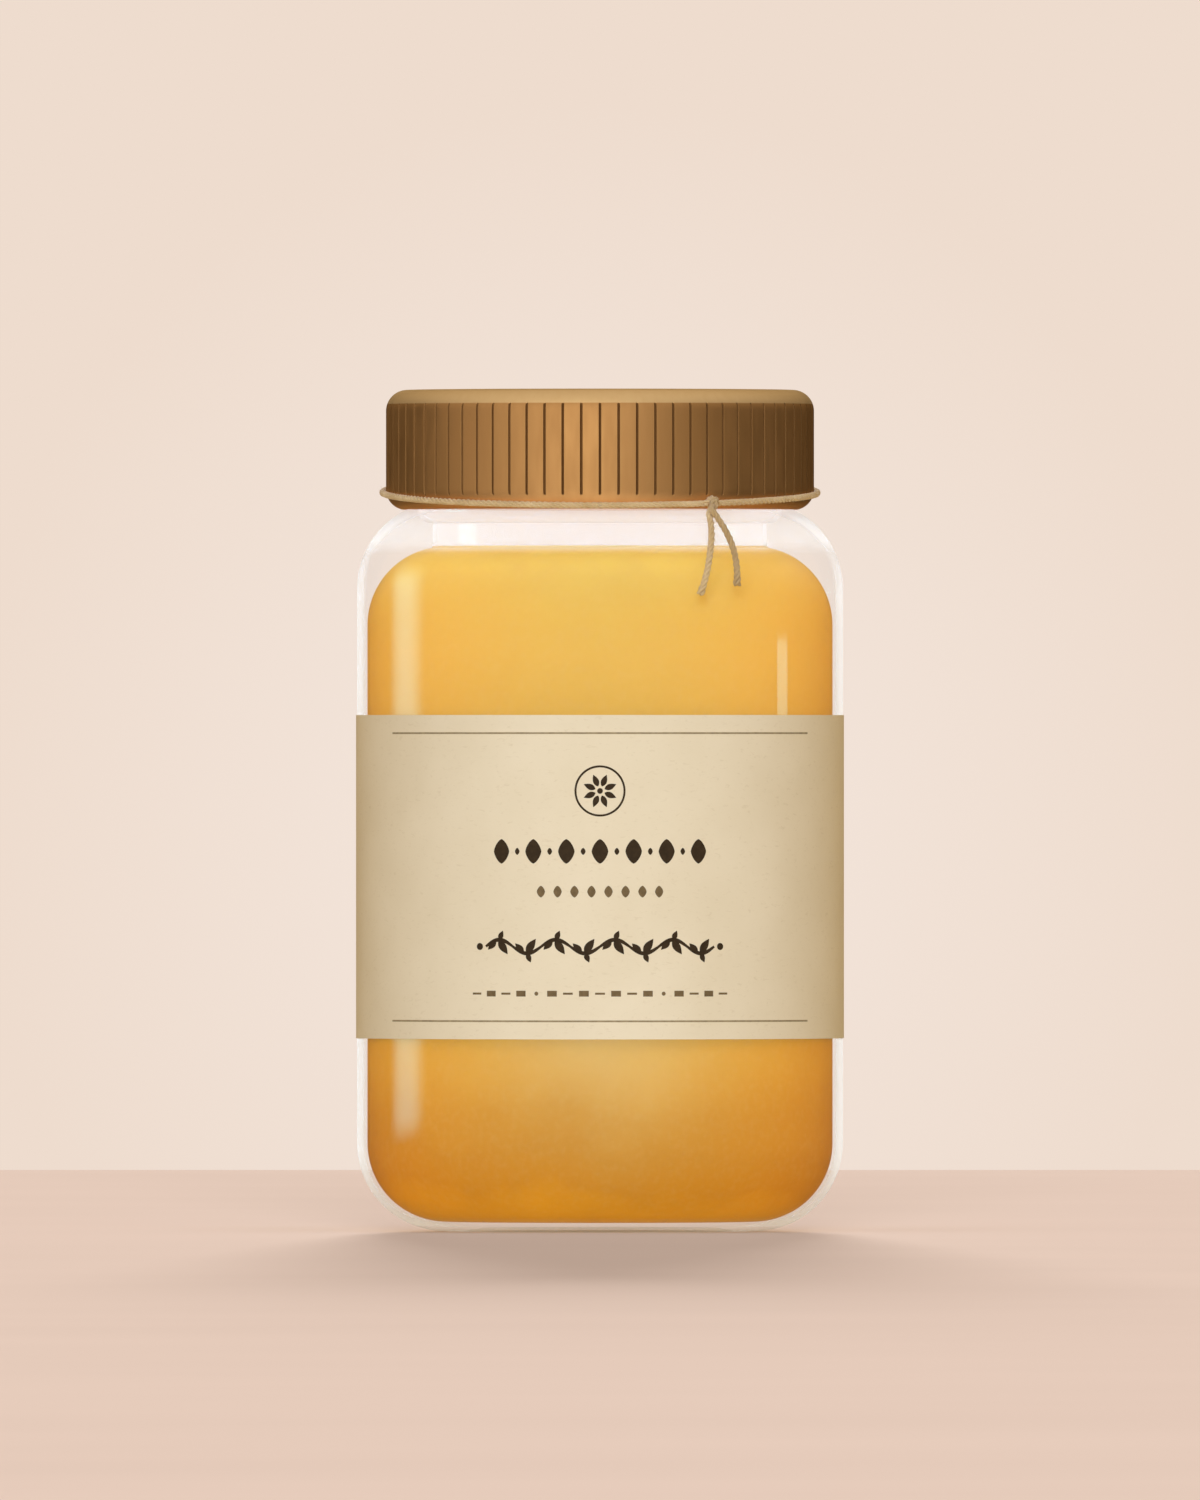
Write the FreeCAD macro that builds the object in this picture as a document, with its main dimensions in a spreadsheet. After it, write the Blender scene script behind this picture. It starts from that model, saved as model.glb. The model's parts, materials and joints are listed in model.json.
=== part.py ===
"""Honey jar: a clear glass jar filled with honey, with a ribbed screw lid, a
wrap-round paper label and a length of twine tied below the lid.

Millimetres, +Z up, origin at the centre of the base, front of the jar towards -Y.
The driving sizes are in the spreadsheet Sizes. Every turned piece is a
PartDesign body revolved from one profile whose corners are bound to those sizes.
"""

import FreeCAD, Part
import math
import os
import Sketcher

from FreeCAD import Vector

doc = FreeCAD.newDocument("HoneyJar")

# ---------------------------------------------------------------- sizes
SIZES = [
    # glass: outside
    ("body_r", 35.75, "outside radius of the glass"),
    ("heel_r", 12.95, "radius of the rounded heel"),
    ("shoulder_r", 12.95, "radius of the rounded shoulder"),
    ("shoulder_z", 94.55, "height where the side turns into the shoulder"),
    ("neck_r", 28.3, "outside radius of the neck"),
    ("lip_z", 122.0, "height of the glass lip, which the lid's panel rests on"),
    ("lip_round", 0.7, "rounding of the lip"),
    ("punt_r", 19.5, "outer radius of the shallow recess under the base"),
    ("punt_flat", 18.0, "radius of the recess's flat"),
    ("punt_rise", 0.45, "depth of the recess"),
    # glass: inside
    ("floor_z", 1.47, "height of the inside floor"),
    ("wall_in_r", 34.15, "inside radius of the body"),
    ("corner_in", 11.48, "inside radius at the floor and under the shoulder"),
    ("shoulder_in_z", 89.2, "height where the inside turns under the shoulder"),
    ("throat_r", 24.6, "radius of the throat above the honey"),
    ("step_z", 104.2, "height of the step from the throat to the bore"),
    ("step_round", 1.9, "rounding of that step"),
    ("bore_r", 26.8, "radius of the bore of the neck"),
    # honey
    ("honey_z", 100.68, "level of the honey"),
    # lid
    ("lid_r", 31.5, "outside radius of the lid"),
    ("lid_bottom", 106.13, "height of the lowest edge of the lid"),
    ("lid_top", 123.8, "height of the top of the lid"),
    ("lid_round_top", 3.1, "rounding of the lid's top edge"),
    ("lid_round_low", 3.0, "rounding of the lid's bottom edge"),
    ("skirt_in_r", 29.0, "inside radius of the lid's skirt"),
    ("rib_low", 108.2, "lower end of the grooves round the lid"),
    ("rib_high", 121.72, "upper end of the grooves"),
    ("rib_width", 0.34, "width of one groove"),
    ("rib_depth", 0.28, "depth of one groove"),
    ("rib_count", 72, "number of grooves"),
    # label
    ("label_low", 28.4, "lower edge of the label"),
    ("label_high", 75.94, "upper edge of the label"),
    ("label_paper", 0.16, "thickness of the paper"),
    ("label_seam", 1.2, "gap between the paper's two ends at the back"),
    # twine
    ("twine_r", 0.45, "radius of the twine"),
    ("loop_front_z", 106.68, "height of the loop at the front"),
    ("loop_back_z", 110.7, "height of the loop at the back"),
    ("loop_gap", 0.03, "gap between the loop and the lid"),
    ("knot_x", 15.9, "place of the knot across the front"),
    ("knot_r", 0.95, "radius of the knot"),
    ("tail_a_mid_x", 16.3, "left tail: place across the front halfway down"),
    ("tail_a_mid_z", 100.6, "left tail: height halfway down"),
    ("tail_a_end_x", 14.72, "left tail: place of the cut end"),
    ("tail_a_end_z", 93.6, "left tail: height of the cut end"),
    ("tail_b_mid_x", 19.0, "right tail: place across the front halfway down"),
    ("tail_b_mid_z", 101.6, "right tail: height halfway down"),
    ("tail_b_end_x", 20.1, "right tail: place of the cut end"),
    ("tail_b_end_z", 94.95, "right tail: height of the cut end"),
    ("tail_lift_mid", 0.38, "gap between a tail and the glass halfway down"),
    ("tail_lift_end", 0.08, "gap between a tail's cut end and the glass"),
    ("knot_out", 0.2, "how far the knot's middle stands out from the loop's"),
    ("knot_down", 0.25, "how far the knot's middle hangs below the loop's"),
]
sheet = doc.addObject("Spreadsheet::Sheet", "Sizes")
for row, (alias, number, words) in enumerate(SIZES, start=1):
    sheet.set("A%d" % row, alias)
    sheet.set("B%d" % row, str(number))
    sheet.set("C%d" % row, words)
    sheet.setAlias("B%d" % row, alias)
doc.recompute()


class Size:
    """A number together with the expression that gives it from the sheet."""

    def __init__(self, number, text):
        self.number, self.text = float(number), text

    def _join(self, other, sign, number):
        words = other.text if isinstance(other, Size) else repr(float(other))
        return Size(number, "(%s %s %s)" % (self.text, sign, words))

    def __add__(self, other):
        return self._join(other, "+", self.number + float(other))

    def __sub__(self, other):
        return self._join(other, "-", self.number - float(other))

    def __mul__(self, other):
        return self._join(other, "*", self.number * float(other))

    def __truediv__(self, other):
        return self._join(other, "/", self.number / float(other))

    def __float__(self):
        return self.number

    def root(self):
        return Size(math.sqrt(self.number), "sqrt(%s)" % self.text)


def size(alias):
    return Size(sheet.get(alias), "Sizes.%s" % alias)


ZERO = Size(0.0, "0")


def origin_plane(body, role):
    return [o for o in body.Origin.OriginFeatures if o.Role == role][0]


def new_body(label):
    body = doc.addObject("PartDesign::Body", label)
    body.Label = label
    body.Placement = FreeCAD.Placement()
    return body


def bind_length(sketch, kind, refs, want):
    """A length constraint bound to the sheet. A zero distance is an axis."""
    sketch.addConstraint(Sketcher.Constraint(kind, *refs, float(want)))
    sketch.setExpression("Constraints[%d]" % (sketch.ConstraintCount - 1), want.text)


def turned(body, name, corners):
    """Revolves a closed profile about Z.

    corners is a list of (x, z, leg). A leg says how the outline goes on from
    that corner: None is a straight line, and (radius, centre x, centre z) is
    an arc about that centre. Every corner is bound to the sheet by its place,
    and every arc by its radius.
    """
    sketch = body.newObject("Sketcher::SketchObject", name + "_profile")
    sketch.AttachmentSupport = [(origin_plane(body, "XZ_Plane"), "")]
    sketch.MapMode = "FlatFace"
    count = len(corners)
    ends = []  # per leg: (geometry, start point, end point)
    for i, (x, z, leg) in enumerate(corners):
        x2, z2, _ = corners[(i + 1) % count]
        a, b = Vector(float(x), float(z), 0), Vector(float(x2), float(z2), 0)
        if leg is None:
            geo = sketch.addGeometry(Part.LineSegment(a, b), False)
            ends.append((geo, 1, 2))
            continue
        radius, cx, cz = (float(v) for v in leg)
        middle = Vector(cx, cz, 0)
        at = math.atan2(a.y - cz, a.x - cx)
        to = math.atan2(b.y - cz, b.x - cx)
        turn = (to - at + math.pi) % (2 * math.pi) - math.pi
        circle = Part.Circle(middle, Vector(0, 0, 1), radius)
        if turn > 0:
            geo = sketch.addGeometry(Part.ArcOfCircle(circle, at, at + turn), False)
            ends.append((geo, 1, 2))
        else:
            geo = sketch.addGeometry(Part.ArcOfCircle(circle, to, to - turn), False)
            ends.append((geo, 2, 1))
    for i in range(count):
        geo, _, last = ends[i]
        following, first, _ = ends[(i + 1) % count]
        sketch.addConstraint(
            Sketcher.Constraint("Coincident", geo, last, following, first)
        )
    for i, (x, z, leg) in enumerate(corners):
        geo, first, _ = ends[i]
        if float(x) == 0.0:
            sketch.addConstraint(Sketcher.Constraint("PointOnObject", geo, first, -2))
        else:
            bind_length(sketch, "DistanceX", (-1, 1, geo, first), x)
        if float(z) == 0.0:
            sketch.addConstraint(Sketcher.Constraint("PointOnObject", geo, first, -1))
        else:
            bind_length(sketch, "DistanceY", (-1, 1, geo, first), z)
        if leg is not None:
            bind_length(sketch, "Radius", (geo,), leg[0])
    solved = sketch.solve()
    doc.recompute()
    if solved != 0 or not sketch.FullyConstrained:
        raise RuntimeError("%s: the profile isn't fully constrained" % name)
    feature = body.newObject("PartDesign::Revolution", name)
    feature.Profile = sketch
    feature.ReferenceAxis = (sketch, ["V_Axis"])
    feature.Angle = 360.0
    body.Tip = feature
    doc.recompute()
    return feature


# ---------------------------------------------------------------- the glass
body_r, heel_r = size("body_r"), size("heel_r")
shoulder_r, shoulder_z = size("shoulder_r"), size("shoulder_z")
neck_r, lip_z, lip_round = size("neck_r"), size("lip_z"), size("lip_round")
floor_z, wall_in_r, corner_in = size("floor_z"), size("wall_in_r"), size("corner_in")
shoulder_in_z, throat_r = size("shoulder_in_z"), size("throat_r")
step_z, step_round, bore_r = size("step_z"), size("step_round"), size("bore_r")

# the shoulder's arc is centred (body_r - shoulder_r, shoulder_z) and ends on the neck
shoulder_cx = body_r - shoulder_r
neck_foot = (
    shoulder_z
    + (shoulder_r * shoulder_r - (neck_r - shoulder_cx) * (neck_r - shoulder_cx)).root()
)
# the arc under the shoulder inside ends at the throat
inner_cx = wall_in_r - corner_in
throat_foot = (
    shoulder_in_z
    + (corner_in * corner_in - (throat_r - inner_cx) * (throat_r - inner_cx)).root()
)

jar = new_body("glass_jar")
turned(
    jar,
    "jar_turned",
    [
        (ZERO, size("punt_rise"), None),
        (size("punt_flat"), size("punt_rise"), None),
        (size("punt_r"), ZERO, None),
        (body_r - heel_r, ZERO, (heel_r, body_r - heel_r, heel_r)),
        (body_r, heel_r, None),
        (body_r, shoulder_z, (shoulder_r, shoulder_cx, shoulder_z)),
        (neck_r, neck_foot, None),
        (neck_r, lip_z - lip_round, (lip_round, neck_r - lip_round, lip_z - lip_round)),
        (neck_r - lip_round, lip_z, None),
        (bore_r + 0.4, lip_z, None),
        (bore_r, lip_z - 0.4, None),
        (bore_r, step_z + step_round, (step_round, bore_r - step_round, step_z + step_round)),
        (bore_r - step_round, step_z, None),
        (throat_r, step_z, None),
        (throat_r, throat_foot, (corner_in, inner_cx, shoulder_in_z)),
        (wall_in_r, shoulder_in_z, None),
        (wall_in_r, floor_z + corner_in, (corner_in, inner_cx, floor_z + corner_in)),
        (inner_cx, floor_z, None),
        (ZERO, floor_z, None),
    ],
)

# ---------------------------------------------------------------- the honey
# It fills the inside of the glass up to its level, in the throat.
honey = new_body("honey")
turned(
    honey,
    "honey_turned",
    [
        (ZERO, floor_z, None),
        (inner_cx, floor_z, (corner_in, inner_cx, floor_z + corner_in)),
        (wall_in_r, floor_z + corner_in, None),
        (wall_in_r, shoulder_in_z, (corner_in, inner_cx, shoulder_in_z)),
        (throat_r, throat_foot, None),
        (throat_r, size("honey_z"), None),
        (ZERO, size("honey_z"), None),
    ],
)

# ---------------------------------------------------------------- the lid
lid_r, lid_top, lid_bottom = size("lid_r"), size("lid_top"), size("lid_bottom")
round_top, round_low = size("lid_round_top"), size("lid_round_low")
skirt_in_r = size("skirt_in_r")
low_cx, low_cz = lid_r - round_low, lid_bottom + round_low
# the rounded bottom edge ends on the inside of the skirt
skirt_foot = (
    low_cz
    - (round_low * round_low - (skirt_in_r - low_cx) * (skirt_in_r - low_cx)).root()
)

lid = new_body("lid")
lid_turned = turned(
    lid,
    "lid_turned",
    [
        (ZERO, lip_z, None),
        (skirt_in_r, lip_z, None),
        (skirt_in_r, skirt_foot, (round_low, low_cx, low_cz)),
        (lid_r, low_cz, None),
        (lid_r, lid_top - round_top, (round_top, lid_r - round_top, lid_top - round_top)),
        (lid_r - round_top, lid_top, None),
        (ZERO, lid_top, None),
    ],
)
plain_volume = lid_turned.Shape.Volume

# one groove, cut from the front of the lid, then carried round it
groove_sketch = lid.newObject("Sketcher::SketchObject", "groove_profile")
groove_sketch.AttachmentSupport = [(origin_plane(lid, "XY_Plane"), "")]
groove_sketch.MapMode = "FlatFace"
groove_sketch.AttachmentOffset = FreeCAD.Placement(
    Vector(0, 0, sheet.get("rib_low")), FreeCAD.Rotation()
)
groove_sketch.setExpression("AttachmentOffset.Base.z", "Sizes.rib_low")
width, depth = size("rib_width"), size("rib_depth")
# a V across the lid's surface: its point is inside, and its open side is clear of it
half = width / 2.0
reach = 1.0  # how far the open side stands out from the lid
inside_y = lid_r - depth
outside_y = lid_r + reach
spread = half * ((outside_y - inside_y) / depth)
point = Vector(0, -float(inside_y), 0)
left = Vector(-float(spread), -float(outside_y), 0)
right = Vector(float(spread), -float(outside_y), 0)
for a, b in ((point, left), (left, right), (right, point)):
    groove_sketch.addGeometry(Part.LineSegment(a, b), False)
for a, b in ((0, 1), (1, 2), (2, 0)):
    groove_sketch.addConstraint(Sketcher.Constraint("Coincident", a, 2, b, 1))
groove_sketch.addConstraint(Sketcher.Constraint("PointOnObject", 0, 1, -2))
groove_sketch.addConstraint(Sketcher.Constraint("Symmetric", 1, 1, 1, 2, -2))
bind_length(groove_sketch, "DistanceY", (0, 1, -1, 1), inside_y)
bind_length(groove_sketch, "DistanceY", (1, 1, -1, 1), outside_y)
bind_length(groove_sketch, "DistanceX", (1, 1, 1, 2), spread * 2.0)
doc.recompute()
if groove_sketch.solve() != 0 or not groove_sketch.FullyConstrained:
    raise RuntimeError("the groove's profile isn't fully constrained")

groove = lid.newObject("PartDesign::Pocket", "groove")
groove.Profile = groove_sketch
groove.Type = "Length"
groove.Length = sheet.get("rib_high") - sheet.get("rib_low")
groove.setExpression("Length", "Sizes.rib_high - Sizes.rib_low")
groove.Reversed = True
lid.Tip = groove
doc.recompute()
one_groove = plain_volume - groove.Shape.Volume
if one_groove < 0.1:
    raise RuntimeError("the groove cuts nothing")

grooves = lid.newObject("PartDesign::PolarPattern", "grooves")
grooves.Originals = [groove]
grooves.Axis = (origin_plane(lid, "Z_Axis"), [""])
grooves.Angle = 360.0
grooves.Occurrences = int(sheet.get("rib_count"))
grooves.setExpression("Occurrences", "Sizes.rib_count")
lid.Tip = grooves
doc.recompute()
all_grooves = plain_volume - grooves.Shape.Volume
if abs(all_grooves - sheet.get("rib_count") * one_groove) > 0.02 * all_grooves:
    raise RuntimeError("the grooves round the lid aren't all cut")

# ---------------------------------------------------------------- the label
# A band of paper on the glass, open by a narrow seam at the back.
label = new_body("label")
paper = size("label_paper")
label_turned = turned(
    label,
    "label_turned",
    [
        (body_r, size("label_low"), None),
        (body_r + paper, size("label_low"), None),
        (body_r + paper, size("label_high"), None),
        (body_r, size("label_high"), None),
    ],
)
band_volume = label_turned.Shape.Volume
seam_sketch = label.newObject("Sketcher::SketchObject", "seam_profile")
seam_sketch.AttachmentSupport = [(origin_plane(label, "XY_Plane"), "")]
seam_sketch.MapMode = "FlatFace"
near, far, half = body_r - 1.0, body_r + 1.0, size("label_seam") / 2.0
corners = [
    Vector(-float(half), float(near), 0),
    Vector(float(half), float(near), 0),
    Vector(float(half), float(far), 0),
    Vector(-float(half), float(far), 0),
]
for i in range(4):
    seam_sketch.addGeometry(Part.LineSegment(corners[i], corners[(i + 1) % 4]), False)
for i in range(4):
    seam_sketch.addConstraint(Sketcher.Constraint("Coincident", i, 2, (i + 1) % 4, 1))
for i, kind in ((1, "Vertical"), (2, "Horizontal"), (3, "Vertical")):
    seam_sketch.addConstraint(Sketcher.Constraint(kind, i))
seam_sketch.addConstraint(Sketcher.Constraint("Symmetric", 0, 1, 0, 2, -2))
bind_length(seam_sketch, "DistanceX", (0, 1, 0, 2), half * 2.0)
bind_length(seam_sketch, "DistanceY", (-1, 1, 0, 1), near)
bind_length(seam_sketch, "DistanceY", (-1, 1, 2, 1), far)
doc.recompute()
if seam_sketch.solve() != 0 or not seam_sketch.FullyConstrained:
    raise RuntimeError("the seam's profile isn't fully constrained")
seam = label.newObject("PartDesign::Pocket", "seam")
seam.Profile = seam_sketch
seam.Type = "Length"
seam.Length = sheet.get("label_high") + 5.0
seam.setExpression("Length", "Sizes.label_high + 5")
seam.Reversed = True
label.Tip = seam
doc.recompute()
if band_volume - seam.Shape.Volume < 1.0:
    raise RuntimeError("the label's seam cuts nothing")

# ---------------------------------------------------------------- the twine
# A loop drawn round the foot of the lid, a little higher at the back, with one
# small knot at the front right whose two cut tails lie down over the shoulder.
twine_r = sheet.get("twine_r")
gap = sheet.get("loop_gap")
front_z, back_z = sheet.get("loop_front_z"), sheet.get("loop_back_z")
edge_cx = float(low_cx)  # centre of the lid's rounded bottom edge
edge_cz = float(low_cz)


def beside_lid(z):
    """The radius at which the twine's centre lies against the lid at height z."""
    clear = float(round_low) + twine_r + gap
    if z >= edge_cz:
        return edge_cx + clear
    return edge_cx + math.sqrt(clear * clear - (edge_cz - z) * (edge_cz - z))


def on_shoulder(x, z, lift):
    """The place at which the twine's centre lies on the front of the glass."""
    clear = float(shoulder_r) + twine_r + lift
    r = float(body_r) + twine_r + lift
    if z > float(shoulder_z):
        r = float(shoulder_cx) + math.sqrt(clear * clear - (z - float(shoulder_z)) ** 2)
    return Vector(x, -math.sqrt(r * r - x * x), z)


front_y, back_y = -beside_lid(front_z), beside_lid(back_z)
tilt = math.atan2(back_z - front_z, back_y - front_y)
long_half = math.hypot(back_z - front_z, back_y - front_y) / 2
middle = Vector(0, (front_y + back_y) / 2, (front_z + back_z) / 2)
wide_half = beside_lid(middle.z) * 1.004
across, along = Vector(1, 0, 0), Vector(0, math.cos(tilt), math.sin(tilt))


def in_plane(u, v):
    """A point of the loop's tilted plane, u across and v towards the back."""
    return middle + across * u + along * v


def swept(centre, start, angle, axis):
    """The twine along one circular arc: a disc turned about the arc's centre."""
    heading = axis.cross(start - centre)
    disc = Part.Face(Part.Wire([Part.makeCircle(twine_r, start, heading)]))
    solid = disc.revolve(centre, axis, math.degrees(angle))
    radius = (start - centre).Length
    want = math.pi * twine_r * twine_r * radius * angle
    if abs(solid.Volume - want) > 0.01 * want:
        raise RuntimeError("an arc's volume is not its section times its length")
    return solid


# The loop is an oval of four tangent arcs that meet at 45 degrees: two at the
# sides, of radius side_r, and two at the front and back, of radius front_r.
shift = (wide_half - long_half) / (2.0 - math.sqrt(2.0))
side_r, front_r = wide_half - shift, long_half + shift
normal = across.cross(along)
loop_arcs = []
for k, (cu, cv, radius) in enumerate(
    (
        (shift, 0.0, side_r),
        (0.0, -shift, front_r),
        (-shift, 0.0, side_r),
        (0.0, shift, front_r),
    )
):
    at = math.radians(90.0 * k - 45.0)
    centre = in_plane(cu, cv)
    start = in_plane(cu + radius * math.cos(at), cv + radius * math.sin(at))
    loop_arcs.append(swept(centre, start, math.pi / 2, normal))

# the knot is on the front arc, whose centre is (0, shift)
knot_x = sheet.get("knot_x")
knot_at = in_plane(knot_x, shift - math.sqrt(front_r * front_r - knot_x * knot_x))


def tail(mid_x, mid_z, end_x, end_z):
    """A cut tail of twine: one arc from the knot over the shoulder."""
    m = on_shoulder(mid_x, mid_z, sheet.get("tail_lift_mid"))
    e = on_shoulder(end_x, end_z, sheet.get("tail_lift_end"))
    arc = Part.Arc(knot_at, m, e).toShape()
    circle = arc.Curve
    centre, axis = circle.Center, (m - knot_at).cross(e - m).normalize()
    print("tail length %.2f mm, radius %.2f mm" % (arc.Length, circle.Radius))
    return swept(centre, knot_at, arc.Length / circle.Radius, axis)


tails = [
    tail(*(sheet.get("tail_%s_%s" % (which, k)) for k in ("mid_x", "mid_z", "end_x", "end_z")))
    for which in ("a", "b")
]
outward = Vector(knot_at.x, knot_at.y, 0).normalize()
knot_middle = (
    knot_at + outward * sheet.get("knot_out") - Vector(0, 0, sheet.get("knot_down"))
)
# the ball's poles lie along the loop, so that no seam crosses the tails
knot = Part.makeSphere(
    sheet.get("knot_r"), knot_middle, outward.cross(Vector(0, 0, 1))
)
loop = loop_arcs[0]
for piece in loop_arcs[1:]:
    loop = loop.fuse(piece)
whole = knot.fuse(tails).fuse(loop)

twine = doc.addObject("Part::Feature", "twine")
twine.Label = "twine"
twine.Shape = whole
twine.Placement = FreeCAD.Placement()
doc.recompute()

# ---------------------------------------------------------------- write
NODES = [jar, honey, lid, label, twine]
for thing in doc.Objects:
    if "Invalid" in thing.State or "Error" in thing.State:
        raise RuntimeError("%s failed: %s" % (thing.Label, thing.State))
for node in NODES:
    shape = node.Shape
    if shape.isNull() or not shape.isValid():
        raise RuntimeError("%s has no valid shape" % node.Label)
    if len(shape.Solids) != 1:
        raise RuntimeError("%s is %d solids" % (node.Label, len(shape.Solids)))
    box = shape.BoundBox
    print(
        "%-10s volume %10.2f mm3  x %.2f..%.2f  y %.2f..%.2f  z %.2f..%.2f  faces %d"
        % (
            (node.Label, shape.Volume, box.XMin, box.XMax, box.YMin, box.YMax)
            + (box.ZMin, box.ZMax, len(shape.Faces))
        )
    )

os.makedirs("parts", exist_ok=True)
for node in NODES:
    shape = node.Shape
    if shape.ShapeType != "Solid":
        shape = shape.Solids[0]
    shape.exportStep("parts/%s.step" % node.Label)
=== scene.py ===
"""The looks of the honey jar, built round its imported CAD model. Metres, +Z up."""

import bpy
import json
import math
import random

import numpy as np
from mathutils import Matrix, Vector

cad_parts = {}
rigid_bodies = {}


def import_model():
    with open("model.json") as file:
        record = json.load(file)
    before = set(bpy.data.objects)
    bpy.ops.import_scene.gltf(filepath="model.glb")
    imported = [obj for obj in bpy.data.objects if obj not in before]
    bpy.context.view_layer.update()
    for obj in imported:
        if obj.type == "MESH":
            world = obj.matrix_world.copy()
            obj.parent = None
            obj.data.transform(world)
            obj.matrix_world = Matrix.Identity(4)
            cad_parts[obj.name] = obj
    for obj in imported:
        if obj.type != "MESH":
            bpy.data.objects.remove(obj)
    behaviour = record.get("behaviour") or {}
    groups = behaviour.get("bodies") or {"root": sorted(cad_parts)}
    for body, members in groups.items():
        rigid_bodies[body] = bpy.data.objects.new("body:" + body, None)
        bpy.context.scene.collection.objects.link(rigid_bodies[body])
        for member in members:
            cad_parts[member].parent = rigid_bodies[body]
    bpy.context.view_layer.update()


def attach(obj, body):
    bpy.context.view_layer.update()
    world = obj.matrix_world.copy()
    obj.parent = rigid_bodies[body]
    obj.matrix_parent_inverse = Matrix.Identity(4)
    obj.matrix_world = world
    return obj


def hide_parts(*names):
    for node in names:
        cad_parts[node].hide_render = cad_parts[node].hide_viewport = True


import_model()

random.seed(7)
MM = 0.001
scene = bpy.context.scene
scene.view_settings.view_transform = "Standard"
scene.view_settings.look = "None"

# ------------------------------------------------------------ sizes, in mm
BODY_R, HEEL_R = 35.75, 12.95
SHOULDER_R, SHOULDER_Z, SHOULDER_CX = 12.95, 94.55, 22.8
NECK_R, LIP_Z, LIP_ROUND = 28.3, 122.0, 0.7
PUNT_R, PUNT_FLAT, PUNT_RISE = 19.5, 18.0, 0.45
FLOOR_Z, WALL_IN_R, CORNER_IN, SHOULDER_IN_Z = 1.47, 34.15, 11.48, 89.2
INNER_CX = WALL_IN_R - CORNER_IN
THROAT_R, STEP_Z, STEP_ROUND, BORE_R = 24.6, 104.2, 1.9, 26.8
HONEY_Z = 100.68
LID_R, LID_LOW, LID_TOP = 31.5, 106.13, 123.8
LID_ROUND_TOP, LID_ROUND_LOW, SKIRT_R = 3.1, 3.0, 29.0
RIB_LOW, RIB_HIGH, RIB_W, RIB_D, RIBS = 108.2, 121.72, 0.34, 0.28, 72
LABEL_LOW, LABEL_HIGH, PAPER, SEAM = 28.4, 75.94, 0.16, 1.2
TWINE_R = 0.45
LOOP_FRONT_Z, LOOP_BACK_Z = 106.68, 110.7


def srgb(r, g, b):
    """A display colour, 0 to 255, as linear numbers."""
    out = []
    for c in (r, g, b):
        c /= 255.0
        out.append(c / 12.92 if c <= 0.04045 else ((c + 0.055) / 1.055) ** 2.4)
    return tuple(out) + (1.0,)


# ------------------------------------------------------------ camera
# A long lens level with the middle of the jar, so that its straight edges stay
# straight. The frame is 1200 x 1500 and stands 220.8 mm tall at the jar.
FRAME_TALL = 0.2208
EYE_Z = 0.0708
LENS, SENSOR = 1200.0, 36.0
cam_data = bpy.data.cameras.new("camera")
cam_data.type = "PERSP"
cam_data.lens = LENS
cam_data.sensor_width = SENSOR
cam_data.sensor_fit = "AUTO"
DISTANCE = FRAME_TALL * LENS / SENSOR
cam_data.clip_start, cam_data.clip_end = 0.1, 100.0
cam = bpy.data.objects.new("camera", cam_data)
scene.collection.objects.link(cam)
cam.location = (0.0, -DISTANCE, EYE_Z)
cam.rotation_euler = (math.radians(90.0), 0.0, 0.0)
scene.camera = cam


# ------------------------------------------------------------ meshes
def make_object(name, verts, faces, smooth=True, sharp=None):
    mesh = bpy.data.meshes.new(name)
    mesh.from_pydata([tuple(v) for v in verts], [], faces)
    mesh.validate()
    mesh.update()
    if smooth:
        mesh.polygons.foreach_set("use_smooth", [True] * len(mesh.polygons))
        if sharp is not None:
            mesh.set_sharp_from_angle(angle=math.radians(sharp))
    obj = bpy.data.objects.new(name, mesh)
    scene.collection.objects.link(obj)
    return obj


def arc(cx, cz, r, a0, a1, n):
    """Points in mm along an arc, both ends included, angles in degrees."""
    return [
        (
            cx + r * math.cos(math.radians(a0 + (a1 - a0) * i / n)),
            cz + r * math.sin(math.radians(a0 + (a1 - a0) * i / n)),
        )
        for i in range(n + 1)
    ]


def line(p, q, n):
    """Points strictly between p and q."""
    return [
        (p[0] + (q[0] - p[0]) * i / n, p[1] + (q[1] - p[1]) * i / n)
        for i in range(1, n)
    ]


def lathe(name, profile, angles, shape=None, sharp=None):
    """Turns a closed outline, in mm, whose first and last points are on the axis.

    shape(r, z, angle) may give back a changed radius.
    """
    verts, faces = [], []
    n = len(angles)
    rings = []
    for r, z in profile:
        if r < 1e-6:
            rings.append([len(verts)])
            verts.append((0.0, 0.0, z * MM))
            continue
        start = len(verts)
        for a in angles:
            rr = shape(r, z, a) if shape else r
            verts.append((rr * MM * math.cos(a), rr * MM * math.sin(a), z * MM))
        rings.append(list(range(start, start + n)))
    for k in range(len(rings) - 1):
        a, b = rings[k], rings[k + 1]
        for i in range(n):
            j = (i + 1) % n
            if len(a) == 1 and len(b) == 1:
                continue
            if len(a) == 1:
                faces.append((a[0], b[j], b[i]))
            elif len(b) == 1:
                faces.append((a[i], a[j], b[0]))
            else:
                faces.append((a[i], a[j], b[j], b[i]))
    return make_object(name, verts, faces, sharp=sharp)


def even(n):
    return [2 * math.pi * i / n for i in range(n)]


def angle_of(cx, cz, p):
    return math.degrees(math.atan2(p[1] - cz, p[0] - cx))


# ------------------------------------------------------------ node helpers
def material(name):
    mat = bpy.data.materials.new(name)
    mat.use_nodes = True
    tree = mat.node_tree
    for n in list(tree.nodes):
        tree.nodes.remove(n)
    out = tree.nodes.new("ShaderNodeOutputMaterial")
    return mat, tree, out


def node(tree, kind, **values):
    n = tree.nodes.new(kind)
    for key, value in values.items():
        if key in n.inputs:
            n.inputs[key].default_value = value
        else:
            setattr(n, key, value)
    return n


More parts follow.
